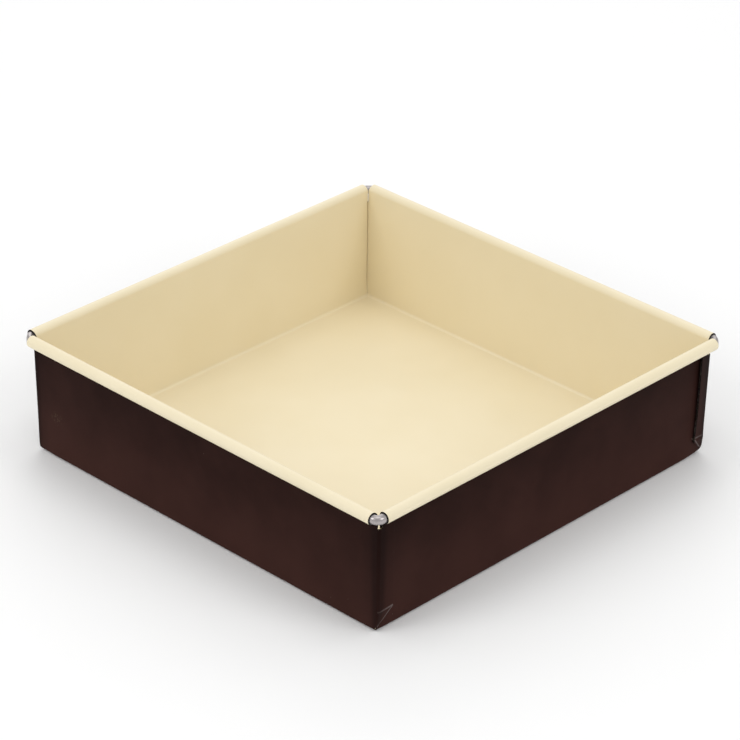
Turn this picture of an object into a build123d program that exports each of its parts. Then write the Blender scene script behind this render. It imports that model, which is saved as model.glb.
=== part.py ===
from build123d import *
import os
from math import sqrt

# Square baking pan in millimetres, +Z up, origin at the middle of its underside.
#
# One steel sheet is folded up into floor and four walls. The two walls at +X and -X wrap
# round the corners; the two at +Y and -Y end there in a hairpin. What is left of the blank
# at a corner lies flat on the outside of the Y wall as a two-layer pleat. Every wall's top
# is curled outward over a steel wire ring, which stays bare at the four corners.

# Driving dimensions
base_inside = 250.0      # clear width of the floor, both ways
pan_height = 70.4        # underside to the top of the curl
sheet = 0.6              # thickness of the coated sheet
wall_lean = 0.9          # how far a wall leans outward between the floor and the wire's axis
floor_bend = 2.2         # outer radius of the bend from floor to wall
corner_bend = 1.3        # outer radius where an X wall turns into its pleat
wire_diameter = 5.0
wire_play = 0.15         # radial room round the wire inside the curl
wire_bend = 3.0          # radius of the wire's axis at a corner
wire_joint = 0.4         # gap between the wire's two ends, hidden inside one curl
curl_sweep = 305.0       # degrees that the curl goes round the wire
curl_end = 125.1         # half length of each curl, cut square
pleat_width = 10.0       # from the corner to the pleat's cut edge
pleat_gap = 0.15         # air between two pressed layers
pleat_top = 63.4         # the pleat ends just under the curl
crease_height = 12.0     # above this the pleat's layers lie parallel
foot_height = 2.0        # the folded foot of the pleat starts here
slit_height = 60.3       # above this the corner is open up to the wire
tab_setback = 2.5        # the pleat's upper tab stays this far from the corner

# Sizes worked out from them
half_base = base_inside / 2 + sheet
curl_inner = wire_diameter / 2 + wire_play
curl_outer = curl_inner + sheet
rim_height = pan_height - curl_outer
lean = wall_lean / rim_height
rim_half = half_base + wall_lean + curl_inner
layer = sheet + pleat_gap
hairpin = sheet + pleat_gap / 2
corner_start = half_base - 7.0
corner_cut = corner_start + 3.0
corner_reach = rim_half + curl_outer


def half_at(height):
    """Half width over the walls' outer faces at a height."""
    return half_base + lean * height


def wall_profile():
    """Face across the pan: floor, both bends, both walls and both curls."""
    half_top = half_at(rim_height)
    inside_foot = half_at(sheet) - sheet
    with BuildLine() as outline:
        FilletPolyline((0, 0), (half_base, 0), (half_top, rim_height), radius=floor_bend)
        inner_curl = CenterArc((rim_half, rim_height), curl_inner, 180, -curl_sweep)
        outer_curl = CenterArc((rim_half, rim_height), curl_outer, 180, -curl_sweep)
        Line(inner_curl @ 1, outer_curl @ 1)
        FilletPolyline(
            (0, sheet), (inside_foot, sheet), (half_top - sheet, rim_height), radius=floor_bend - sheet
        )
        Line((0, 0), (0, sheet))
    make_face(outline.edges())
    mirror(about=Plane.YZ)


def wrap_profile(half):
    """Face of an X wall turning the corner into the outer layer of the pleat."""
    outside = half + 2 * layer
    with BuildLine() as outline:
        FilletPolyline(
            (half, corner_start), (half, outside), (half - pleat_width, outside), radius=corner_bend
        )
        Line((half - pleat_width, outside), (half - pleat_width, outside - sheet))
        FilletPolyline(
            (half - pleat_width, outside - sheet),
            (half - sheet, outside - sheet),
            (half - sheet, corner_start),
            radius=corner_bend - sheet,
        )
        Line((half - sheet, corner_start), (half, corner_start))
    make_face(outline.edges())


def hairpin_profile(half):
    """Face of a Y wall that turns back on itself as the inner layer of the pleat."""
    turn = half - sheet - pleat_gap - hairpin
    axis = (turn, half + pleat_gap / 2)
    with BuildLine() as outline:
        Line((corner_start, half - sheet), (turn, half - sheet))
        CenterArc(axis, hairpin, -90, 180)
        Line((turn, half + layer), (half - pleat_width, half + layer))
        Line((half - pleat_width, half + layer), (half - pleat_width, half + pleat_gap))
        Line((half - pleat_width, half + pleat_gap), (turn, half + pleat_gap))
        CenterArc(axis, pleat_gap / 2, -90, 180)
        Line((turn, half), (corner_start, half))
        Line((corner_start, half), (corner_start, half - sheet))
    make_face(outline.edges())


def extrude_leaning(height):
    """Extrude the pending face upward and outward, parallel to both leaning walls."""
    extrude(amount=height * sqrt(1 + 2 * lean**2), dir=Vector(lean, lean, 1).normalized())


# Corner above the crease: two separate layers lying on the Y wall, and the open tab on top
with BuildPart() as pleat:
    with BuildSketch(Plane.XY.offset(crease_height)):
        wrap_profile(half_at(crease_height))
    extrude_leaning(slit_height - crease_height)
    with BuildSketch(Plane.XY.offset(crease_height)):
        hairpin_profile(half_at(crease_height))
    extrude_leaning(slit_height - crease_height)
    tab_half = half_at(slit_height)
    tab_length = pleat_width - tab_setback
    with BuildSketch(Plane.XY.offset(slit_height)):
        with Locations((tab_half - pleat_width, tab_half + pleat_gap)):
            Rectangle(tab_length, sheet, align=(Align.MIN, Align.MIN))
        with Locations((tab_half - pleat_width, tab_half + layer + pleat_gap)):
            Rectangle(tab_length, sheet, align=(Align.MIN, Align.MIN))
    extrude_leaning(pleat_top - slit_height)

# Corner below the crease: the tray's own corner, and the pressed foot of the pleat
with BuildPart() as tray_corner:
    with BuildSketch():
        with Locations((corner_start, corner_start)):
            Rectangle(half_base - corner_start, half_base - corner_start, align=(Align.MIN, Align.MIN))
    extrude_leaning(crease_height)
    outer_edges = tray_corner.faces().sort_by(Axis.Z)[0].edges()
    fillet(outer_edges.sort_by(Axis.X)[-1:] + outer_edges.sort_by(Axis.Y)[-1:], radius=floor_bend)

with BuildPart() as corner_room:
    room_half = half_at(sheet) - sheet
    with BuildSketch(Plane.XY.offset(sheet)):
        with Locations((corner_start / 2, corner_start / 2)):
            Rectangle(room_half - corner_start / 2, room_half - corner_start / 2, align=(Align.MIN, Align.MIN))
    extrude_leaning(crease_height)
    floor_edges = corner_room.faces().sort_by(Axis.Z)[0].edges()
    fillet(floor_edges.sort_by(Axis.X)[-1:] + floor_edges.sort_by(Axis.Y)[-1:], radius=floor_bend - sheet)

with BuildPart() as foot:
    for height, width, proud, bend in (
        (foot_height, foot_height + sheet, pleat_gap, pleat_gap),
        (crease_height, pleat_width, 2 * layer, corner_bend),
    ):
        half = half_at(height)
        buried = half - sheet / 2
        with BuildSketch(Plane.XY.offset(height)):
            with BuildLine():
                FilletPolyline(
                    (half, buried), (half, half + proud), (half - width, half + proud), radius=bend
                )
                Line((half - width, half + proud), (half - width, buried))
                Line((half - width, buried), (half, buried))
            make_face()
    loft(ruled=True)

with BuildPart() as corner:
    add(tray_corner.part)
    add(foot.part)
    add(corner_room.part, mode=Mode.SUBTRACT)
    add(pleat.part)

# The folded sheet
with BuildPart() as pan_sheet:
    with BuildSketch(Plane.XZ):
        wall_profile()
    extrude(amount=curl_end, both=True)
    with BuildSketch(Plane.YZ):
        wall_profile()
    extrude(amount=curl_end, both=True)
    corner_column = corner_reach - corner_cut
    corner_middle = (corner_reach + corner_cut) / 2
    with GridLocations(2 * corner_middle, 2 * corner_middle, 2, 2):
        Box(
            corner_column, corner_column, slit_height,
            align=(Align.CENTER, Align.CENTER, Align.MIN), mode=Mode.SUBTRACT,
        )
    left_corner = mirror(corner.part, about=Plane.YZ, mode=Mode.PRIVATE)
    for finished in (corner.part, left_corner):
        add(finished)
        mirror(finished, about=Plane.XZ)

# The wire inside the curls: one rod, bent round the rim until its ends all but meet
with BuildPart() as rim_wire:
    with BuildLine(Plane.XY.offset(rim_height)) as wire_axis:
        FilletPolyline(
            (wire_joint / 2, rim_half),
            (rim_half, rim_half),
            (rim_half, -rim_half),
            (-rim_half, -rim_half),
            (-rim_half, rim_half),
            (-wire_joint / 2, rim_half),
            radius=wire_bend,
        )
    with BuildSketch(Plane(origin=wire_axis.line @ 0, z_dir=wire_axis.line % 0)):
        Circle(wire_diameter / 2)
    sweep()

pan_sheet.part.label = "pan_sheet"
rim_wire.part.label = "rim_wire"

os.makedirs("parts", exist_ok=True)
export_step(pan_sheet.part, "parts/pan_sheet.step")
export_step(rim_wire.part, "parts/rim_wire.step")
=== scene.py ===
"""Looks of a square baking pan, folded from one coated steel sheet over a rim wire.

The pan is modelled as it is made. A quarter of its section is traced just above the feet of
the corner pleats, with straight runs and bends. The feet are pressed down to the corner, and
the last ring is bent under to meet the floor. The section is raised into walls, and the walls
are curled over the wire. Four such quarters are joined, and the sheet gets its thickness.
"""

import logging
import math
from collections.abc import Callable
from dataclasses import dataclass, field
from enum import Enum, IntEnum

import bmesh
import bpy
from mathutils import Matrix, Vector


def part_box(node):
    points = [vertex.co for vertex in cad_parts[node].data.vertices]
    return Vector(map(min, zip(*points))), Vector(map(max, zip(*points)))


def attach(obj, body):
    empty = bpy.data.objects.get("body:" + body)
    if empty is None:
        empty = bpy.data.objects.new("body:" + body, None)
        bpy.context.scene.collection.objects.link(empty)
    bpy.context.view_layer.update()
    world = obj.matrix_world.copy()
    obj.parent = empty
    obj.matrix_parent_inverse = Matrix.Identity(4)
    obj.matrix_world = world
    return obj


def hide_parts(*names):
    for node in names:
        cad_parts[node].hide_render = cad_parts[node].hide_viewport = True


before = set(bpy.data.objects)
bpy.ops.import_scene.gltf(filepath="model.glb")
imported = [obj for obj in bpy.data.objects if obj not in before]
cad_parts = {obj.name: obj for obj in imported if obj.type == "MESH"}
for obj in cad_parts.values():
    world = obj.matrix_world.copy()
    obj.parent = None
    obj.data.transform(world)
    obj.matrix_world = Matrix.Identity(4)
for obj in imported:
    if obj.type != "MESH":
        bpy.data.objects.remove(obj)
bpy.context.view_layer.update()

MM = 0.001
TINY = 0.02 * MM
WELD = 0.002 * MM
UP = Vector((0.0, 0.0, 1.0))
CAD_SHEET = "pan_sheet"
CAD_WIRE = "rim_wire"

log = logging.getLogger("baking_pan")

PointTest = Callable[[Vector], bool]
Colour = tuple[float, float, float]
Stops = tuple[tuple[float, float], ...]

FADE: Stops = ((0.0, 1.0), (1.0, 0.0))
SHORT_FADE: Stops = ((0.0, 1.0), (0.5, 0.0))
BLOTCHES: Stops = ((0.35, 0.0), (0.65, 1.0))

# The Mix node has sockets of one name for each type of data, so its colours go by place.
MIX_FACTOR, MIX_FIRST, MIX_SECOND, MIX_RESULT = 0, 6, 7, 2


def held(share: float) -> float:
    """A share held between 0 and 1."""
    return min(1.0, max(0.0, share))


# --- Bench tools ---


class Pick(Enum):
    """What the bench's next operator works on."""

    POINTS = "VERT"
    EDGES = "EDGE"


class Bench:
    """One mesh in edit mode, shaped by operators that act on what was picked last."""

    def __init__(self, piece: bpy.types.Object) -> None:
        """Put the active object on the bench.

        Args:
            piece: that object.
        """
        self.piece = piece
        bpy.ops.object.mode_set(mode="EDIT")

    @classmethod
    def with_point(cls, name: str, start: Vector) -> "Bench":
        """Lay a single point on a bench, ready to be drawn out.

        Args:
            name: name of the object and of its mesh.
            start: where the point lies, in metres.

        Returns:
            The bench, with the point picked.
        """
        bpy.ops.object.select_all(action="DESELECT")
        bpy.ops.mesh.primitive_plane_add(size=MM)
        piece = bpy.context.object
        piece.name = piece.data.name = name
        bench = cls(piece)
        bpy.ops.mesh.merge(type="CENTER")
        bench.shift(start)
        return bench

    @property
    def mesh(self) -> bmesh.types.BMesh:
        """The mesh that is being edited."""
        return bmesh.from_edit_mesh(self.piece.data)

    def pick(self, kind: Pick, test: PointTest) -> int:
        """Select the points or edges whose middle passes a test.

        Args:
            kind: what is looked at.
            test: says whether a middle point counts.

        Returns:
            How many were selected.
        """
        bpy.ops.mesh.select_mode(type="VERT")
        bpy.ops.mesh.select_all(action="DESELECT")
        bpy.ops.mesh.select_mode(type=kind.value)
        edited = self.mesh
        if kind is Pick.POINTS:
            chosen = [v for v in edited.verts if test(v.co)]
        else:
            chosen = [e for e in edited.edges if test((e.verts[0].co + e.verts[1].co) / 2)]
        for element in chosen:
            element.select_set(True)
        edited.select_flush_mode()
        bmesh.update_edit_mesh(self.piece.data)
        return len(chosen)

    def run(self, to: Vector, pieces: int = 1) -> None:
        """Draw the picked point out in a straight line.

        Args:
            to: where the line ends.
            pieces: how many equal edges it has.
        """
        here = next(v.co.copy() for v in self.mesh.verts if v.select)
        step = (to - here) / pieces
        for _ in range(pieces):
            bpy.ops.mesh.extrude_vertices_move(TRANSFORM_OT_translate={"value": step})

    def raise_edges(self, by: Vector) -> None:
        """Draw the picked edges out into faces, all by one step."""
        bpy.ops.mesh.extrude_edges_move(TRANSFORM_OT_translate={"value": by})

    def bend(self, centre: Vector, axis: Vector, degrees: float, steps: int) -> None:
        """Carry what is picked round an axis, drawing it out as it goes.

        Args:
            centre: a point on the axis.
            axis: its direction; a positive turn follows the right hand.
            degrees: how far it turns.
            steps: how many edges or faces the bend has.
        """
        bpy.ops.mesh.spin(steps=steps, angle=-math.radians(degrees), center=centre, axis=axis)

    def shift(self, by: Vector) -> None:
        """Move what is picked."""
        bpy.ops.transform.translate(value=by)

    def scale(self, factors: Vector, about: Vector) -> None:
        """Stretch what is picked about a point."""
        bpy.ops.transform.resize(value=factors, center_override=about)

    def press(self, test: PointTest, push: Callable[[Vector], Vector]) -> None:
        """Move points by an amount that depends on where each one is.

        Args:
            test: says which points are moved.
            push: gives the move of a point.
        """
        for point in self.mesh.verts:
            if test(point.co):
                point.co += push(point.co)
        bmesh.update_edit_mesh(self.piece.data)

    def weld(self) -> None:
        """Merge points that lie together, and turn all faces the same way."""
        bpy.ops.mesh.select_mode(type="VERT")
        bpy.ops.mesh.select_all(action="SELECT")
        bpy.ops.mesh.remove_doubles(threshold=WELD)
        bpy.ops.mesh.normals_make_consistent(inside=False)

    def leave(self) -> bpy.types.Object:
        """Leave edit mode and hand over the piece."""
        bpy.ops.object.mode_set(mode="OBJECT")
        return self.piece


def choose(*pieces: bpy.types.Object) -> None:
    """Select these objects and no others, and make the first one active."""
    bpy.ops.object.select_all(action="DESELECT")
    for piece in pieces:
        piece.select_set(True)
    bpy.context.view_layer.objects.active = pieces[0]


def apply_modifier(piece: bpy.types.Object, name: str, kind: str, **settings: object) -> None:
    """Put a modifier on a piece and apply it.

    Args:
        piece: the object that it shapes.
        name: what the modifier is called.
        kind: Blender's type of modifier.
        **settings: its values.
    """
    choose(piece)
    modifier = piece.modifiers.new(name, kind)
    for key, value in settings.items():
        setattr(modifier, key, value)
    bpy.ops.object.modifier_apply(modifier=name)


def smooth(piece: bpy.types.Object, degrees: float) -> None:
    """Shade a piece smooth where its faces meet at less than an angle, weighted by area."""
    choose(piece)
    bpy.ops.object.shade_smooth_by_angle(angle=math.radians(degrees))
    all_area = 100
    apply_modifier(piece, "Even shading", "WEIGHTED_NORMAL", weight=all_area, keep_sharp=True)


# --- Shader tools ---


def operator(operation: str, swapped: bool = False) -> Callable[..., "Sock"]:
    """Make one of Sock's operators.

    Args:
        operation: what its Math node does.
        swapped: whether the other value comes first, as in 1 - mask.

    Returns:
        The method.
    """

    def method(this: "Sock", other: "Value" = 0.0) -> "Sock":
        """Add the Math node."""
        pair = (other, this) if swapped else (this, other)
        return this.table.node(
            "ShaderNodeMath", {"operation": operation}, dict(enumerate(pair))
        ).out("Value")

    return method


class Sock:
    """A shader socket that can be used in arithmetic. A comparison gives 1 or 0."""

    def __init__(self, table: "NodeTable", socket: bpy.types.NodeSocket) -> None:
        """Wrap a node's output.

        Args:
            table: the table that new nodes go on.
            socket: the output.
        """
        self.table = table
        self.socket = socket

    __add__, __radd__ = operator("ADD"), operator("ADD", swapped=True)
    __sub__, __rsub__ = operator("SUBTRACT"), operator("SUBTRACT", swapped=True)
    __mul__, __rmul__ = operator("MULTIPLY"), operator("MULTIPLY", swapped=True)
    __truediv__, __rtruediv__ = operator("DIVIDE"), operator("DIVIDE", swapped=True)
    __lt__, __gt__ = operator("LESS_THAN"), operator("GREATER_THAN")
    __abs__ = operator("ABSOLUTE")


Value = Sock | float


class Made:
    """A node that has just been made, with its outputs at hand."""

    def __init__(self, table: "NodeTable", node: bpy.types.Node) -> None:
        """Wrap a node.

        Args:
            table: the table that it stands on.
            node: the node.
        """
        self.table = table
        self.node = node

    def out(self, name: str | int) -> Sock:
        """One of its outputs, by name or place, ready for arithmetic."""
        return Sock(self.table, self.node.outputs[name])


class NodeTable:
    """The nodes of one material, with a Principled shader at their end."""

    def __init__(self, name: str) -> None:
        """Start a material with its shader and nothing else.

        Args:
            name: what the material is called.
        """
        self.material = bpy.data.materials.new(name)
        self.material.use_nodes = True
        self.tree = self.material.node_tree
        self.shader = self.tree.nodes["Principled BSDF"]

    def node(
        self, kind: str, settings: dict[str, object], inputs: dict[str | int, object]
    ) -> Made:
        """Make any node: settings first, then the values or links of its inputs.

        Args:
            kind: Blender's type of node.
            settings: attributes of the node. "stops" gives a ramp's positions and values.
            inputs: a value, or a Sock, for each input that isn't left as it is.

        Returns:
            The node.
        """
        made = self.tree.nodes.new(kind)
        for key, value in settings.items():
            if key == "stops":
                self._set_stops(made, value)
            else:
                setattr(made, key, value)
        for key, value in inputs.items():
            if isinstance(value, Sock):
                self.tree.links.new(value.socket, made.inputs[key])
            else:
                made.inputs[key].default_value = value
        return Made(self, made)

    @staticmethod
    def _set_stops(ramp: bpy.types.Node, stops: Stops) -> None:
        """Give a colour ramp its stops, as pairs of position and grey level."""
        elements = ramp.color_ramp.elements
        while len(elements) < len(stops):
            elements.new(1.0)
        for element, (position, level) in zip(elements, stops):
            element.position = position
            element.color = (level, level, level, 1.0)

    def place(self) -> Sock:
        """Where a point of the surface is, in metres in the piece's own frame."""
        return self.node("ShaderNodeTexCoord", {}, {}).out("Object")

    def noise(self, at: Sock, size: float, detail: float = 2.0, roughness: float = 0.5) -> Sock:
        """Soft random levels about 0.5.

        Args:
            at: where.
            size: how wide a blotch is, in metres.
            detail: how many finer layers it has.
            roughness: how strong those are.

        Returns:
            The level.
        """
        return self.node(
            "ShaderNodeTexNoise",
            {"noise_dimensions": "3D"},
            {"Vector": at, "Scale": 1.0 / size, "Detail": detail, "Roughness": roughness},
        ).out("Fac")

    def ramp(self, level: Sock, stops: Stops) -> Sock:
        """A level passed through a ramp of grey stops."""
        return self.node("ShaderNodeValToRGB", {"stops": stops}, {"Fac": level}).out("Color")

    def blend(self, factor: Value, first: Sock | Colour, second: Sock | Colour) -> Sock:
        """A colour between two others.

        Args:
            factor: 0 gives the first, 1 the second.
            first: colour or socket.
            second: colour or socket.

        Returns:
            The mixed colour.
        """
        ends = {MIX_FIRST: first, MIX_SECOND: second}
        inputs = {k: v if isinstance(v, Sock) else (*v, 1.0) for k, v in ends.items()}
        return self.node(
            "ShaderNodeMix", {"data_type": "RGBA"}, {MIX_FACTOR: factor, **inputs}
        ).out(MIX_RESULT)

    def bump(self, height: Sock, depth: float) -> Sock:
        """A normal tilted by a height.

        Args:
            height: level of the surface, from 0 to 1.
            depth: how far 1 stands above 0, in metres.

        Returns:
            The normal.
        """
        return self.node(
            "ShaderNodeBump", {}, {"Height": height, "Distance": depth, "Strength": 1.0}
        ).out("Normal")

    def finish(self, **inputs: object) -> bpy.types.Material:
        """Feed the shader and hand over the material.

        Args:
            **inputs: values or Socks for the shader, its names in lower case with underscores.

        Returns:
            The material.
        """
        named = {s.name.lower().replace(" ", "_"): s for s in self.shader.inputs}
        for key, value in inputs.items():
            if isinstance(value, Sock):
                self.tree.links.new(value.socket, named[key])
            elif named[key].type == "RGBA":
                named[key].default_value = (*value, 1.0)
            else:
                named[key].default_value = value
        return self.material


# --- Finishes ---


@dataclass(frozen=True)
class CreamCoat:
    """Satin cream coat on the inside of the pan and on the curl of the rim."""

    tone: Colour = (0.845, 0.748, 0.525)
    pale_tone: Colour = (0.870, 0.776, 0.562)
    blotch: float = 45 * MM
    blotch_share: float = 0.7
    grain: float = 0.9 * MM
    grain_depth: float = 0.012 * MM
    roughness: float = 0.42
    roughness_change: float = 0.16
    specular: float = 0.4

    def material(self) -> bpy.types.Material:
        """Make the material: slow change of tone, fine grain of a sprayed coat."""
        table = NodeTable("cream coat")
        at = table.place()
        slow = table.ramp(table.noise(at, self.blotch), BLOTCHES)
        grain = table.noise(at, self.grain, detail=3.0)
        pale = slow * self.blotch_share + grain * (1.0 - self.blotch_share)
        return table.finish(
            base_color=table.blend(pale, self.tone, self.pale_tone),
            roughness=self.roughness + (grain - 0.5) * self.roughness_change,
            normal=table.bump(grain, self.grain_depth),
            specular_ior_level=self.specular,
        )


@dataclass(frozen=True)
class BrownCoat:
    """Dark brown satin coat on the outside of the pan, rubbed and painted with highlights along
    the pleats' folds.
    """

    tone: Colour = (0.0115, 0.0046, 0.0038)
    painted_foot_light: Colour = (0.055, 0.0230, 0.0185)
    bend_painted_shade: Colour = (0.0062, 0.0029, 0.0027)
    rubbed_and_highlight: Colour = (0.175, 0.145, 0.140)
    scuff: Colour = (0.16, 0.12, 0.08)
    dust: Colour = (0.20, 0.17, 0.15)
    # Painted light: over a height the tone grows lighter and warmer toward the foot, and darker
    # toward the top under the curl; the shares are those of that painted light, blotches and
    # grain.
    foot_light_rise: float = 70 * MM
    foot_light_stops: Stops = ((0.0, 1.0), (0.25, 0.72), (0.95, 0.0))
    tone_shares: tuple[float, float, float] = (0.7, 0.18, 0.12)
    blotch: float = 30 * MM
    grain: float = 0.7 * MM
    grain_depth: float = 0.016 * MM
    dust_spacing: float = 16 * MM
    dust_size: float = 0.22 * MM
    dust_cover: float = 0.5
    roughness: float = 0.38
    grain_roughness: float = 0.2
    dust_roughness: float = 0.3
    specular: float = 0.015
    # Painted shade: the bends are darker where X plus Y, both without their signs, comes near a
    # sum.
    corner_sum: float = 252.4 * MM
    bend_fade: float = 11.0 * MM
    bend_stops: Stops = ((0.0, 0.0), (0.55, 0.3), (0.8, 1.0))
    bend_shade_cover: float = 0.6
    # Where the pleats, their creases and their cut edges are.
    pan_half: float = 125.9 * MM
    pleat_half: float = 126.5 * MM
    pleat_width: float = 10.6 * MM
    pleat_slant: float = 0.0134
    crease: float = 12.0 * MM
    crease_slope: float = 0.06
    crease_ends: Stops = ((0.1, 0.25), (0.9, 1.0))
    # How widely they are rubbed and painted with highlights, and how far off their plain lines.
    crease_rub_and_glint: float = 0.7 * MM
    fold_rub_and_glint: float = 1.5 * MM
    fold_above: float = 0.9 * MM
    foot_depth: float = 1.1 * MM
    edge_rub_and_glint: float = 0.5 * MM
    edge_out: float = 0.2 * MM
    rub_and_glint_least: float = 0.35
    rub_and_glint_grain: float = 0.9
    # One scuff, in broken strokes.
    scuff_place: tuple[float, float, float] = (-125.6 * MM, 109.6 * MM, 25.0 * MM)
    scuff_reach: float = 5.0 * MM
    scuff_stroke: float = 1.1 * MM
    scuff_stops: Stops = ((0.52, 0.0), (0.66, 1.0))
    scuff_cover: float = 0.4

    def material(self) -> bpy.types.Material:
        """Make the material: lighter and warmer to the foot as painted light, darker on the
        bends as painted shade, rubbed and painted with highlights along the pleats, a little
        dusty.
        """
        table = NodeTable("brown coat")
        at = table.place()
        slow = table.ramp(table.noise(at, self.blotch, detail=3.0), BLOTCHES)
        grain = table.noise(at, self.grain, detail=3.0)
        cells = table.node(
            "ShaderNodeTexVoronoi",
            {"feature": "F1"},
            {"Vector": at, "Scale": 1.0 / self.dust_spacing, "Randomness": 1.0},
        )
        speck = (cells.out("Distance") < self.dust_size / self.dust_spacing) * self.dust_cover
        axes = table.node("ShaderNodeSeparateXYZ", {}, {"Vector": at})
        height = axes.out("Z")
        # Painted light and shade: lighter and warmer toward the foot, darker toward the top
        # under the curl.
        foot_light = table.ramp(height / self.foot_light_rise, self.foot_light_stops)
        x, y = abs(axes.out("X")), abs(axes.out("Y"))
        rubbed_and_highlight = self._rubbed_and_highlit(table, x, y, height, grain)
        # Painted shade on the corner bends.
        bent = table.ramp((x + y - self.corner_sum) / self.bend_fade + 1.0, self.bend_stops)
        of_foot_light, of_slow, of_grain = self.tone_shares
        tone_and_foot_light = foot_light * of_foot_light + slow * of_slow + grain * of_grain
        brown = table.blend(tone_and_foot_light, self.tone, self.painted_foot_light)
        shaded = table.blend(bent * self.bend_shade_cover, brown, self.bend_painted_shade)
        # Rubbed wear and painted highlight along the pleats' creases, folds and cut edges.
        worn_and_highlit = table.blend(rubbed_and_highlight, shaded, self.rubbed_and_highlight)
        scuffed = table.blend(self._scuffed(table, at), worn_and_highlit, self.scuff)
        rougher = (grain - 0.5) * self.grain_roughness + speck * self.dust_roughness
        return table.finish(
            base_color=table.blend(speck, scuffed, self.dust),
            roughness=self.roughness + rougher,
            normal=table.bump(grain, self.grain_depth),
            specular_ior_level=self.specular,
        )

    def _rubbed_and_highlit(self, table: NodeTable, x: Sock, y: Sock, height: Sock, grain: Sock) -> Sock:
        """How strongly the coat is painted lighter on each pleat's crease, slanting fold and
        edge: partly rubbed thin, partly a painted highlight.

        Args:
            table: the material's nodes.
            x: distance from the pan's middle plane along X.
            y: the same along Y.
            height: height above the table.
            grain: level of the fine grain, which breaks the edge of the rubbing and painted
                highlight up.

        Returns:
            0 where the coat is whole and no highlight is painted, up to 1.
        """
        on_pleat = y > self.pleat_half
        inboard = self.pan_half - x
        reach = table.ramp(inboard / self.pleat_width, self.crease_ends)
        off_crease = abs(height - self.crease - inboard * self.crease_slope) / self.crease_rub_and_glint
        crease = table.ramp(off_crease, FADE) * reach
        slope = self.crease / self.pleat_width
        off_fold = abs(height - inboard * slope - self.fold_above) / self.fold_rub_and_glint
        on_foot = (y > self.pleat_half - self.foot_depth) * (height < self.crease)
        fold = table.ramp(off_fold, SHORT_FADE) * on_foot
        leaned = inboard + (height - self.crease) * self.pleat_slant
        off_edge = abs(leaned - self.pleat_width - self.edge_out) / self.edge_rub_and_glint
        edge = table.ramp(off_edge, SHORT_FADE) * (height > self.crease)
        broken = self.rub_and_glint_least + grain * self.rub_and_glint_grain
        return (on_pleat * (crease + edge) + fold) * broken

    def _scuffed(self, table: NodeTable, at: Sock) -> Sock:
        """How strongly the coat is scuffed, in broken strokes round one place.

        Args:
            table: the material's nodes.
            at: where.

        Returns:
            0 where it isn't scuffed, up to the scuff's cover.
        """
        away = table.node(
            "ShaderNodeVectorMath", {"operation": "DISTANCE"}, {0: at, 1: self.scuff_place}
        ).out("Value")
        near = table.ramp(away / self.scuff_reach, FADE)
        strokes = table.ramp(table.noise(at, self.scuff_stroke, detail=3.0), self.scuff_stops)
        return near * strokes * self.scuff_cover


@dataclass(frozen=True)
class CutEdge:
    """Cut edge of the sheet: steel under a smear of the outside coat, kept very dark so that it
    also paints the shade in the mouth of each curl.
    """

    # Partly painted shade: the coat on the cut edge is kept near black to stand for the shadow
    # in the curls' mouths.
    coat: Colour = (0.010, 0.006, 0.005)
    steel: Colour = (0.10, 0.09, 0.088)
    patch: float = 1.6 * MM
    patch_depth: float = 0.03 * MM
    bare_stops: Stops = ((0.58, 0.0), (0.74, 1.0))
    metallic: float = 0.8
    roughness: float = 0.6
    polish: float = 0.15
    specular: float = 0.15

    def material(self) -> bpy.types.Material:
        """Make the material: mostly coated, with some bare steel showing."""
        table = NodeTable("cut edge")
        patches = table.noise(table.place(), self.patch, detail=3.0)
        bare = table.ramp(patches, self.bare_stops)
        return table.finish(
            base_color=table.blend(bare, self.coat, self.steel),
            metallic=bare * self.metallic,
            roughness=self.roughness - bare * self.polish,
            specular_ior_level=self.specular,
            normal=table.bump(patches, self.patch_depth),
        )


@dataclass(frozen=True)
class BareWire:
    """Drawn steel wire, smooth, with a faint grain and a little dulling."""

    steel: Colour = (0.47, 0.435, 0.43)
    dull_steel: Colour = (0.30, 0.275, 0.275)
    patch: float = 9 * MM
    patch_stops: Stops = ((0.35, 0.0), (0.7, 1.0))
    patch_cover: float = 0.6
    grain: float = 0.25 * MM
    grain_depth: float = 0.0006 * MM
    roughness: float = 0.27
    patch_roughness: float = 0.10
    grain_roughness: float = 0.06

    def material(self) -> bpy.types.Material:
        """Make the material: bright steel, dulled in patches, with a fine grain."""
        table = NodeTable("bare wire")
        at = table.place()
        patches = table.ramp(table.noise(at, self.patch, detail=3.0), self.patch_stops)
        grain = table.noise(at, self.grain)
        dulled = self.roughness + patches * self.patch_roughness
        return table.finish(
            base_color=table.blend(patches * self.patch_cover, self.steel, self.dull_steel),
            metallic=1.0,
            roughness=dulled + (grain - 0.5) * self.grain_roughness,
            normal=table.bump(grain, self.grain_depth),
        )


# --- The pan ---


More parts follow.
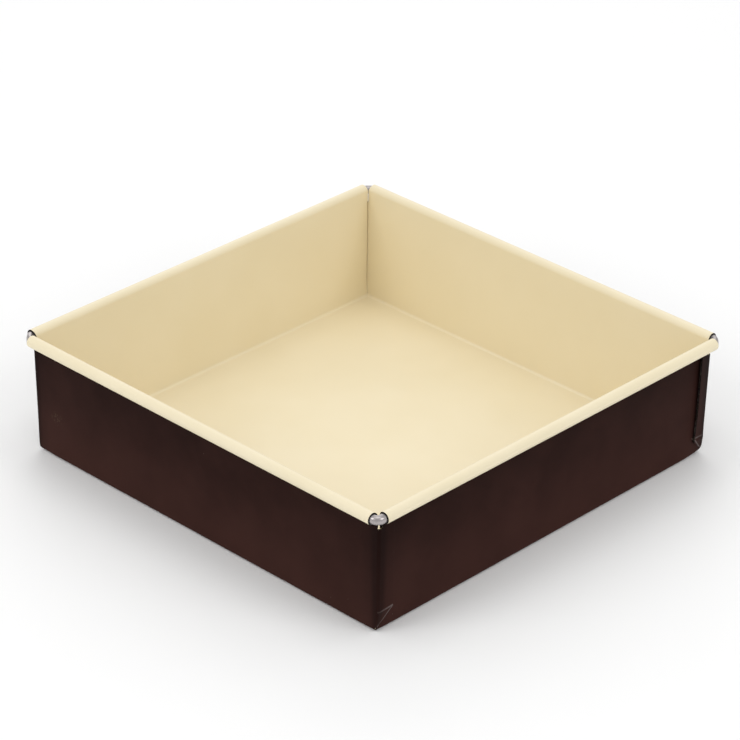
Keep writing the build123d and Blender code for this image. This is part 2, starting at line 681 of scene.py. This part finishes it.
@dataclass(frozen=True)
class PanSizes:
    """Sizes that the sheet and the wire share, in metres.

    Attributes:
        wire_diameter: thickness of the wire.
        rim_height: height of the wire's axis.
        rim_half: half width of the square that the wire's axis makes.
        curl_radius: radius of the curl, to the middle of the sheet.
        sheet: thickness of the sheet.
        wall_lean: how far a wall goes outward from the table to the wire's axis.
    """

    wire_diameter: float
    rim_height: float
    rim_half: float
    curl_radius: float
    sheet: float = 0.6 * MM
    wall_lean: float = 0.9 * MM

    @classmethod
    def from_frame(cls) -> "PanSizes":
        """Read the rim's place and the wire's thickness off the CAD nodes.

        Returns:
            The sizes.
        """
        _, sheet_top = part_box(CAD_SHEET)
        wire_low, wire_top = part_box(CAD_WIRE)
        wire = wire_top.z - wire_low.z
        axis_height = (wire_top.z + wire_low.z) / 2
        return cls(
            wire_diameter=wire,
            rim_height=axis_height,
            rim_half=wire_top.x - wire / 2,
            curl_radius=sheet_top.z - axis_height - cls.sheet / 2,
        )

    @property
    def lean(self) -> float:
        """How far a wall goes outward for each unit of height."""
        return self.wall_lean / self.rim_height

    def half_at(self, height: float) -> float:
        """Half width at a height, to the middle of the sheet's thickness."""
        return self.rim_half - self.curl_radius - self.lean * (self.rim_height - height)


@dataclass(frozen=True)
class CornerFold:
    """How one corner came out of the folding press.

    Attributes:
        side_x: 1 or -1, the side of the pan that the corner is on along X.
        side_y: 1 or -1, the same along Y.
        pleat: width of the pleat, from the corner to its cut edge.
        spring: how far the pleat's cut edge stands off the wall.
        bend: radius of the wall's bend round the corner, to the middle of the sheet.
        seam: how far inside the corner the Y wall turns back on itself.
        blunt: how far the bottom point of the corner is knocked in, or stands out if negative.
        drop: how much lower than usual the pleat's crease came out.
        wall_ends: where the X wall and the Y wall end, beside the slit.
        curl_ends: where the X wall's curl and the Y wall's curl end.
        wire_bend: radius of the wire's bend, to its axis.
        wire_flat: how far the outside of that bend is flattened.
    """

    side_x: int
    side_y: int
    pleat: float
    spring: float
    bend: float
    seam: float
    blunt: float
    drop: float
    wall_ends: tuple[float, float]
    curl_ends: tuple[float, float]
    wire_bend: float
    wire_flat: float


class Corner(Enum):
    """The pan's four corners. No two folded quite alike."""

    FRONT_LEFT = CornerFold(
        side_x=-1, side_y=-1, pleat=10.5 * MM, spring=0.15 * MM,
        bend=1.3 * MM, seam=2.2 * MM, blunt=-0.1 * MM, drop=0.0,
        wall_ends=(126.5 * MM, 124.2 * MM), curl_ends=(125.9 * MM, 124.7 * MM),
        wire_bend=2.7 * MM, wire_flat=0.0,
    )
    FRONT_RIGHT = CornerFold(
        side_x=1, side_y=-1, pleat=9.2 * MM, spring=0.9 * MM,
        bend=2.6 * MM, seam=2.6 * MM, blunt=1.7 * MM, drop=1.6 * MM,
        wall_ends=(125.0 * MM, 124.6 * MM), curl_ends=(124.8 * MM, 125.2 * MM),
        wire_bend=4.2 * MM, wire_flat=0.8 * MM,
    )
    BACK_LEFT = CornerFold(
        side_x=-1, side_y=1, pleat=10.0 * MM, spring=0.4 * MM,
        bend=3.0 * MM, seam=3.0 * MM, blunt=0.3 * MM, drop=0.6 * MM,
        wall_ends=(124.6 * MM, 124.2 * MM), curl_ends=(124.3 * MM, 124.9 * MM),
        wire_bend=4.6 * MM, wire_flat=1.2 * MM,
    )
    BACK_RIGHT = CornerFold(
        side_x=1, side_y=1, pleat=9.7 * MM, spring=0.3 * MM,
        bend=1.2 * MM, seam=1.25 * MM, blunt=0.7 * MM, drop=0.3 * MM,
        wall_ends=(126.0 * MM, 125.55 * MM), curl_ends=(125.3 * MM, 125.2 * MM),
        wire_bend=5.0 * MM, wire_flat=1.2 * MM,
    )


@dataclass
class QuarterSheet:
    """A quarter of the folded sheet, as a surface at the middle of its thickness.

    The quarter is folded where X and Y are positive, and then turned over to its corner.
    """

    sizes: PanSizes
    fold: CornerFold
    gap: float = 0.08 * MM
    floor_radius: float = 1.9 * MM
    crease: float = 12.0 * MM
    slit: float = 60.3 * MM
    slit_foot: float = 0.8 * MM
    # The part of the pleat above the slit keeps clear of the corner and its bends.
    tab_top: float = 63.4 * MM
    tab_setback: float = 2.2 * MM
    tab_clearance: float = 0.4 * MM
    # The ridge along the crease, and the share of it that is left at the corner.
    ridge: float = 0.28 * MM
    ridge_reach: float = 2.6 * MM
    ridge_least: float = 0.45
    # Where the pleat begins to spring off the wall, and the height that it takes.
    spring_root: float = 2 * MM
    spring_foot: float = 3 * MM
    spring_rise: float = 14 * MM
    # The knock on the bottom point; its last part lifts all but the floor.
    blunt_reach: float = 5.5 * MM
    knock: tuple[float, float, float] = (-0.68, -0.68, 0.27)
    knock_foot: float = 0.2
    drop_fade: float = 9 * MM
    # Degrees that the curl turns, and over which its end moves to its own place.
    curl_sweep: float = 305.0
    curl_set: float = 70.0
    # Faces round each bend and across the pleat, then columns and rows of points.
    curl_steps: int = 40
    bend_steps: int = 8
    hairpin_steps: int = 12
    pleat_runs: int = 3
    columns: tuple[float, ...] = (0.0, 28 * MM, 56 * MM, 84 * MM, 108 * MM, 113 * MM)
    foot_levels: tuple[float, ...] = (0.9, 0.72, 0.52, 0.32, 0.14)
    wall_levels: tuple[float, ...] = (13.2 * MM, 17 * MM, 28 * MM, 40 * MM, 51 * MM)

    def __post_init__(self) -> None:
        """Work out the section's sizes at the height of the crease."""
        self.half = self.sizes.half_at(self.crease)
        self.layer = self.sizes.sheet + self.gap
        self.outer_y = self.half + 2 * self.layer
        self.zone = self.columns[-1] + TINY
        self.foot_height = self.floor_radius + self.sizes.sheet / 2
        self.bend_start = self.outer_y - self.fold.bend
        self.turn_x = self.half - self.fold.seam
        self.free_x = self.half + self.sizes.sheet / 2 - self.fold.pleat
        round_corner = max(self.fold.bend, self.fold.seam) + self.tab_clearance
        self.tab_back = max(self.tab_setback, round_corner)
        self.bench: Bench | None = None

    def fold_up(self) -> bpy.types.Object:
        """Fold the quarter from its section.

        Returns:
            The quarter, lying at its own corner of the pan.
        """
        start = Vector((self.half, 0.0, self.crease))
        bench = Bench.with_point(f"quarter {self.fold.side_x} {self.fold.side_y}", start)
        self.bench = bench
        self._trace_section()
        self._press_foot()
        self._bend_to_floor()
        self._raise_walls()
        self._raise_tabs()
        for across in (0, 1):
            self._curl_wall(across)
        self._spring_pleat()
        self._drop_crease()
        self._knock_in_point()
        bench.weld()
        bench.scale(
            Vector((self.fold.side_x, self.fold.side_y, 1.0)), Vector((0.0, 0.0, 0.0))
        )
        return bench.leave()

    def _trace_section(self) -> None:
        """Draw the section: X wall, corner, both layers of the pleat, hairpin and Y wall."""
        bench, half, z = self.bench, self.half, self.crease
        free_x = self.free_x
        tab_x = half - self.tab_back
        inner_y = self.outer_y - self.layer
        for y in (*self.columns[1:], self.bend_start):
            bench.run(Vector((half, y, z)))
        centre = Vector((half - self.fold.bend, self.bend_start, z))
        bench.bend(centre, UP, 90, self.bend_steps)
        bench.run(Vector((tab_x, self.outer_y, z)))
        bench.run(Vector((free_x, self.outer_y, z)), self.pleat_runs)
        bench.bend(Vector((free_x, (self.outer_y + inner_y) / 2, z)), UP, 180, self.bend_steps)
        bench.run(Vector((tab_x, inner_y, z)), self.pleat_runs)
        bench.run(Vector((self.turn_x, inner_y, z)))
        turn = Vector((self.turn_x, (inner_y + half) / 2, z))
        bench.bend(turn, UP, -180, self.hairpin_steps)
        for x in reversed(self.columns):
            bench.run(Vector((x, half, z)))

    def _in_corner(self, point: Vector) -> bool:
        """Whether a point is past the last plain column on both walls."""
        return point.x > self.zone and point.y > self.zone

    def _lean_new(self, height: float, rise: float) -> None:
        """Lean the row of points at a height outward, for a rise since the row before."""
        outward = self.sizes.lean * rise
        for axis in (0, 1):
            push = Vector((0.0, 0.0, 0.0))
            push[axis] = outward
            if self.bench.pick(
                Pick.POINTS, lambda p: abs(p.z - height) < TINY and p[axis] > self.zone
            ):
                self.bench.shift(push)

    def _press_foot(self) -> None:
        """Carry the section down to the bend of the floor, with the pleat closing to a point."""
        bench = self.bench
        span = self.crease - self.foot_height
        height, width = self.crease, 1.0
        for level in (*self.foot_levels, 0.0):
            last, height = height, self.foot_height + level * span
            bench.pick(Pick.EDGES, lambda p: abs(p.z - last) < TINY)
            bench.raise_edges(Vector((0.0, 0.0, height - last)))
            self._lean_new(height, height - last)
            bench.pick(Pick.POINTS, lambda p: abs(p.z - height) < TINY and self._in_corner(p))
            tip = Vector((self.sizes.half_at(height),) * 2 + (height,))
            bench.scale(Vector((level / width, level / width, 1.0)), tip)
            width = level
        bench.weld()

    def _bend_to_floor(self) -> None:
        """Roll the lowest ring under, on the bend between wall and floor."""
        bench = self.bench
        straight = self.sizes.half_at(self.foot_height) - self.floor_radius
        half, height = straight + self.floor_radius, self.foot_height
        for step in range(1, self.bend_steps + 1):
            angle = math.radians(90) * step / self.bend_steps
            next_half = straight + self.floor_radius * math.cos(angle)
            next_height = self.foot_height - self.floor_radius * math.sin(angle)
            bench.pick(Pick.EDGES, lambda p: abs(p.z - height) < TINY)
            bench.raise_edges(Vector((0.0, 0.0, next_height - height)))
            shrink = next_half / half
            bench.scale(Vector((shrink, shrink, 1.0)), Vector((0.0, 0.0, next_height)))
            half, height = next_half, next_height

    def _on_fold(self, point: Vector) -> bool:
        """Whether a point is on the arc that joins the pleat's two layers."""
        return point.x < self.free_x and point.y > self.sizes.half_at(point.z) + TINY

    def _raise_walls(self) -> None:
        """Raise walls and pleat from the crease to the foot of the corner slit."""
        bench = self.bench
        height = self.crease
        for level in (*self.wall_levels, self.slit):
            last, height = height, level
            bench.pick(
                Pick.EDGES, lambda p: abs(p.z - last) < TINY and not self._on_fold(p)
            )
            bench.raise_edges(Vector((0.0, 0.0, height - last)))
            self._lean_new(height, height - last)

    def _raise_tabs(self) -> None:
        """Raise the pleat's two layers on towards the curl, clear of the corner."""
        bench = self.bench
        rise = self.tab_top - self.slit
        wall = self.sizes.half_at(self.slit)
        tab_x = wall - self.tab_back
        bench.pick(
            Pick.EDGES,
            lambda p: abs(p.z - self.slit) < TINY and p.y > wall + self.gap and p.x < tab_x,
        )
        bench.raise_edges(Vector((0.0, self.sizes.lean * rise, rise)))

    def _curl_wall(self, across: int) -> None:
        """Raise one wall beside the slit to the wire, and curl it outward over it.

        Args:
            across: the axis that the wall stands across, 0 for X and 1 for Y.
        """
        bench, sizes, fold = self.bench, self.sizes, self.fold
        along = 1 - across
        wall = sizes.half_at(self.slit)
        leaned = sizes.lean * (self.slit - self.crease)
        end = (self.bend_start, self.turn_x)[across] + leaned
        bench.pick(
            Pick.EDGES,
            lambda p: abs(p.z - self.slit) < TINY
            and abs(p[across] - wall) < TINY
            and p[along] < end,
        )
        for rise in (self.slit_foot, sizes.rim_height - self.slit - self.slit_foot):
            push = Vector((0.0, 0.0, rise))
            push[across] = sizes.lean * rise
            bench.raise_edges(push)
            shift = fold.wall_ends[across] - end
            end += shift
            for point in bench.mesh.verts:
                if point.select and point.co[along] > self.zone:
                    point.co[along] += shift
        rim = Vector((sizes.rim_half, sizes.rim_half, sizes.rim_height))
        axis = Vector((0.0, 1.0, 0.0)) if across == 0 else Vector((-1.0, 0.0, 0.0))
        bench.bend(rim, axis, self.curl_sweep, self.curl_steps)
        change = fold.curl_ends[across] - fold.wall_ends[across]

        def set_back(point: Vector) -> Vector:
            """Move of a point at the end of the curl, growing over its first part."""
            turned = math.atan2(point.z - rim.z, rim.x - point[across]) % math.tau
            push = Vector((0.0, 0.0, 0.0))
            push[along] = change * held(turned / math.radians(self.curl_set))
            return push

        bench.press(
            lambda p: p[across] > wall - TINY
            and abs(p[along] - end) < TINY
            and math.hypot(p[across] - rim.x, p.z - rim.z) < sizes.curl_radius + TINY,
            set_back,
        )

    def _spring_pleat(self) -> None:
        """Lift the pleat's cut edge off the wall, and raise the ridge along its crease."""
        root = self.half - self.spring_root
        width = root - self.free_x - self.sizes.wall_lean
        over_half = 0.7
        wall_side = self.half + over_half * self.layer

        def lift(point: Vector) -> Vector:
            """Outward move of a point of the pleat."""
            reach = held((root - point.x) / width)
            rise = held((point.z - self.crease + self.spring_foot) / self.spring_rise)
            near_crease = held(1.0 - abs(point.z - self.crease) / self.ridge_reach)
            spring = self.fold.spring * reach * rise * rise * (3 - 2 * rise)
            along = self.ridge_least + (1.0 - self.ridge_least) * reach
            ridge = self.ridge * near_crease * near_crease * along
            return Vector((0.0, spring + ridge, 0.0))

        self.bench.press(
            lambda p: self._in_corner(p)
            and p.y > wall_side + self.sizes.lean * (p.z - self.crease)
            and self.crease - self.spring_foot < p.z < self.tab_top + TINY,
            lift,
        )

    def _drop_crease(self) -> None:
        """Lower the pleat's crease, and what is near it, by this corner's own amount."""

        def drop(place: Vector) -> Vector:
            """Move of a point: in full at the crease, none at the floor or well above."""
            below = (place.z - self.foot_height) / (self.crease - self.foot_height)
            above = 1.0 - (place.z - self.crease) / self.drop_fade
            return Vector((0.0, 0.0, -self.fold.drop * max(0.0, min(below, above))))

        self.bench.press(self._in_corner, drop)

    def _knock_in_point(self) -> None:
        """Push the bottom point of the corner inward, most at the point itself."""
        point = Vector((self.half, self.half, 0.0))

        def knock(place: Vector) -> Vector:
            """Move of a point near the corner; the floor stays level."""
            near = 1.0 - (place - point).length / self.blunt_reach
            way = Vector(self.knock)
            way.z *= held(place.z / self.foot_height - self.knock_foot)
            return way * (self.fold.blunt * near * near)

        self.bench.press(lambda p: (p - point).length < self.blunt_reach, knock)


class Side(IntEnum):
    """The sheet's material slots."""

    CREAM = 0
    BROWN = 1
    CUT = 2


@dataclass
class FoldedSheet:
    """The pan's one sheet: floor, walls, pleats and the curls of the rim."""

    sizes: PanSizes
    floor_margin: float = 4 * MM
    edge_round: float = 0.07 * MM
    # Each foot's point is thinnest at a height, with a share of the thickness left.
    pinch_height: float = 2.2 * MM
    pinch_reach: float = 7.5 * MM
    pinch_left: float = 0.12
    smooth_below: float = 35.0

    def build(self) -> bpy.types.Object:
        """Fold four quarters, join them, and give the sheet its thickness.

        Returns:
            The finished piece.
        """
        quarters = [QuarterSheet(self.sizes, corner.value).fold_up() for corner in Corner]
        choose(*quarters)
        bpy.ops.object.join()
        piece = bpy.context.object
        piece.name = piece.data.name = "folded_sheet"
        self._lay_floor(piece)
        for finish in (CreamCoat(), BrownCoat(), CutEdge()):
            piece.data.materials.append(finish.material())
        apply_modifier(
            piece, "Thickness", "SOLIDIFY",
            thickness=self.sizes.sheet, offset=0.0, use_quality_normals=True,
            vertex_group=self._thin_the_points(piece),
            material_offset=Side.BROWN, material_offset_rim=Side.CUT,
        )
        self._round_cut_edges(piece)
        smooth(piece, self.smooth_below)
        return piece

    def _lay_floor(self, piece: bpy.types.Object) -> None:
        """Weld the quarters and close the ring at their foot with the floor."""
        bench = Bench(piece)
        bench.weld()
        level = self.sizes.sheet / 2
        bench.pick(Pick.EDGES, lambda p: abs(p.z - level) < TINY)
        bpy.ops.mesh.edge_face_add()
        bpy.ops.mesh.select_mode(type="FACE")
        bpy.ops.mesh.inset(thickness=self.floor_margin, depth=0.0)
        bench.weld()
        floor = min(bench.mesh.faces, key=lambda f: f.calc_center_median().z)
        if floor.normal.z < 0:
            bpy.ops.mesh.flip_normals()
        bench.leave()

    def _thin_the_points(self, piece: bpy.types.Object) -> str:
        """Mark where the sheet is pinched thin, at the point of each pleat's foot.

        Args:
            piece: the sheet, before it gets its thickness.

        Returns:
            The name of the vertex group with the share of thickness that is left.
        """
        group = piece.vertex_groups.new(name="thickness")
        half = self.sizes.half_at(self.pinch_height)
        thinnest = Vector((half, half, self.pinch_height))
        for vertex in piece.data.vertices:
            point = Vector((abs(vertex.co.x), abs(vertex.co.y), vertex.co.z))
            away = (point - thinnest).length
            share = min(1.0, max(self.pinch_left, away / self.pinch_reach))
            group.add([vertex.index], share, "REPLACE")
        return group.name

    def _round_cut_edges(self, piece: bpy.types.Object) -> None:
        """Take the sharpness off the sheet's cut edges."""
        bench = Bench(piece)
        bpy.ops.mesh.select_mode(type="EDGE")
        bpy.ops.mesh.select_all(action="DESELECT")
        for edge in bench.mesh.edges:
            cut = [f.material_index == Side.CUT for f in edge.link_faces]
            edge.select_set(len(cut) == 2 and cut[0] != cut[1])
        bmesh.update_edit_mesh(piece.data)
        bpy.ops.mesh.bevel(offset=self.edge_round, segments=2, material=Side.CUT)
        bench.leave()


@dataclass
class RimWire:
    """The rim's steel wire, bent round the pan until its two ends all but meet."""

    sizes: PanSizes
    sides: int = 40
    bend_steps: int = 16
    end_gap: float = 0.4 * MM
    smooth_below: float = 40.0

    def build(self) -> bpy.types.Object:
        """Draw the wire's round section along each side and bend it at each corner.

        Returns:
            The finished piece.
        """
        half, z = self.sizes.rim_half, self.sizes.rim_height
        bpy.ops.object.select_all(action="DESELECT")
        bpy.ops.mesh.primitive_circle_add(
            vertices=self.sides,
            radius=self.sizes.wire_diameter / 2,
            fill_type="NGON",
            location=(self.end_gap / 2, half, z),
            rotation=(0.0, math.radians(90), 0.0),
        )
        piece = bpy.context.object
        piece.name = piece.data.name = "rim_wire_bent"
        bpy.ops.object.transform_apply(location=True, rotation=True, scale=True)
        bench = Bench(piece)
        heading = Vector((1.0, 0.0, 0.0))
        here = Vector((self.end_gap / 2, half, z))
        quarter = Matrix.Rotation(math.radians(-90), 3, "Z")
        route = (Corner.BACK_RIGHT, Corner.FRONT_RIGHT, Corner.FRONT_LEFT, Corner.BACK_LEFT)
        for corner in route:
            radius = corner.value.wire_bend
            inward = quarter @ heading
            length = half - radius - here.dot(heading)
            bpy.ops.mesh.extrude_region_move(
                TRANSFORM_OT_translate={"value": heading * length}
            )
            here = here + heading * length
            centre = here + inward * radius
            bench.bend(centre, UP, -90, self.bend_steps)
            here = centre + heading * radius
            heading = inward
            self._flatten_bend(bench, corner.value, centre)
        last = -self.end_gap / 2 - here.x
        bpy.ops.mesh.extrude_region_move(TRANSFORM_OT_translate={"value": heading * last})
        bench.weld()
        bench.leave()
        piece.data.materials.append(BareWire().material())
        smooth(piece, self.smooth_below)
        return piece

    def _flatten_bend(self, bench: Bench, fold: CornerFold, centre: Vector) -> None:
        """Flatten the outside of a bend, most of all in its middle.

        Args:
            bench: the wire's bench.
            fold: the corner that the bend belongs to.
            centre: the point that the bend turns about.
        """
        thick = self.sizes.wire_diameter / 2

        def flatten(point: Vector) -> Vector:
            """Move of a point, inward along its own radius of the bend."""
            arm = Vector((point.x - centre.x, point.y - centre.y, 0.0))
            outside = max(0.0, (arm.length - fold.wire_bend) / thick)
            arm.normalize()
            return arm * (-fold.wire_flat * outside * 2 * abs(arm.x * arm.y))

        bench.press(
            lambda p: (p.x - centre.x) * fold.side_x > 0 and (p.y - centre.y) * fold.side_y > 0,
            flatten,
        )


# --- The studio ---


@dataclass(frozen=True)
class Softbox:
    """A square studio light that faces the pan, in metres and watts."""

    name: str
    place: tuple[float, float, float]
    size: float
    power: float

    def hang(self, aim: Vector) -> None:
        """Put the light up and turn it to a point."""
        lamp = bpy.data.lights.new(self.name, "AREA")
        lamp.shape = "SQUARE"
        lamp.size = self.size
        lamp.energy = self.power
        stand = bpy.data.objects.new(self.name, lamp)
        bpy.context.scene.collection.objects.link(stand)
        stand.location = self.place
        stand.rotation_euler = (aim - stand.location).to_track_quat("-Z", "Y").to_euler()


@dataclass
class Studio:
    """Pale floor, soft lights and the camera."""

    # The camera, headed round from -Y, with its lens and sensor in millimetres.
    aim: Vector = field(default_factory=lambda: Vector((0.0142, 0.0152, 0.0375)))
    distance: float = 1.8403
    heading: float = -46.106
    elevation: float = 29.009
    roll: float = 0.819
    lens: float = 166.94
    sensor: float = 36.0
    clip: tuple[float, float] = (0.05, 50.0)
    # The floor, a little under the pan, and the light.
    floor_size: float = 12.0
    floor_grey: float = 0.97
    floor_roughness: float = 0.7
    floor_drop: float = 0.05 * MM
    sky: float = 0.68
    lights: tuple[Softbox, ...] = (
        Softbox("top softbox", (0.0, 0.0, 1.8), 1.2, 5.0),
        Softbox("left softbox", (-1.6, 0.5, 1.35), 0.9, 8.5),
        Softbox("right softbox", (0.4, -1.6, 1.35), 0.9, 6.5),
        Softbox("back softbox", (1.4, 1.35, 1.15), 1.5, 6.5),
    )
    lights_aim: tuple[float, float, float] = (0.0, 0.0, 0.03)

    def build(self) -> None:
        """Set up everything that isn't the pan."""
        self._lay_floor()
        self._light()
        self._aim_camera()

    def _lay_floor(self) -> None:
        """Lay a wide pale floor just under the pan."""
        bpy.ops.object.select_all(action="DESELECT")
        bpy.ops.mesh.primitive_plane_add(
            size=self.floor_size, location=(0.0, 0.0, -self.floor_drop)
        )
        floor = bpy.context.object
        floor.name = "studio_floor"
        table = NodeTable("studio floor")
        grey = (self.floor_grey,) * 3
        floor.data.materials.append(
            table.finish(base_color=grey, roughness=self.floor_roughness)
        )

    def _light(self) -> None:
        """Hang the softboxes and light the room evenly."""
        for box in self.lights:
            box.hang(Vector(self.lights_aim))
        world = bpy.data.worlds.new("studio")
        world.use_nodes = True
        sky = world.node_tree.nodes["Background"]
        sky.inputs["Color"].default_value = (1.0, 1.0, 1.0, 1.0)
        sky.inputs["Strength"].default_value = self.sky
        scene = bpy.context.scene
        scene.world = world
        scene.view_settings.view_transform = "Standard"

    def _aim_camera(self) -> None:
        """Stand the camera where it sees the front left corner nearest."""
        turn, tilt, roll = (
            math.radians(a) for a in (self.heading, self.elevation, self.roll)
        )
        back = Vector(
            (math.sin(turn) * math.cos(tilt), -math.cos(turn) * math.cos(tilt), math.sin(tilt))
        )
        level_right = (-back).cross(UP).normalized()
        level_up = level_right.cross(-back)
        right = math.cos(roll) * level_right + math.sin(roll) * level_up
        up = math.cos(roll) * level_up - math.sin(roll) * level_right
        lens = bpy.data.cameras.new("camera")
        lens.sensor_width = self.sensor
        lens.lens = self.lens
        lens.clip_start, lens.clip_end = self.clip
        camera = bpy.data.objects.new("camera", lens)
        bpy.context.scene.collection.objects.link(camera)
        place = self.aim + back * self.distance
        camera.matrix_world = Matrix(
            [(right[i], up[i], back[i], place[i]) for i in range(3)] + [(0, 0, 0, 1)]
        )
        bpy.context.scene.camera = camera


def main() -> None:
    """Build the pan and the studio, and hand each piece to the frame."""
    logging.basicConfig(level=logging.INFO, format="%(name)s: %(message)s")
    sizes = PanSizes.from_frame()
    made = (
        (FoldedSheet(sizes).build(), CAD_SHEET, "coated_sheet"),
        (RimWire(sizes).build(), CAD_WIRE, "bare_wire"),
    )
    for piece, node, finish_slot in made:
        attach(piece, "root")
        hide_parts(node)
        log.info("%s stands for %s with %d faces", piece.name, node, len(piece.data.polygons))
    Studio().build()


if __name__ == "__main__":
    main()
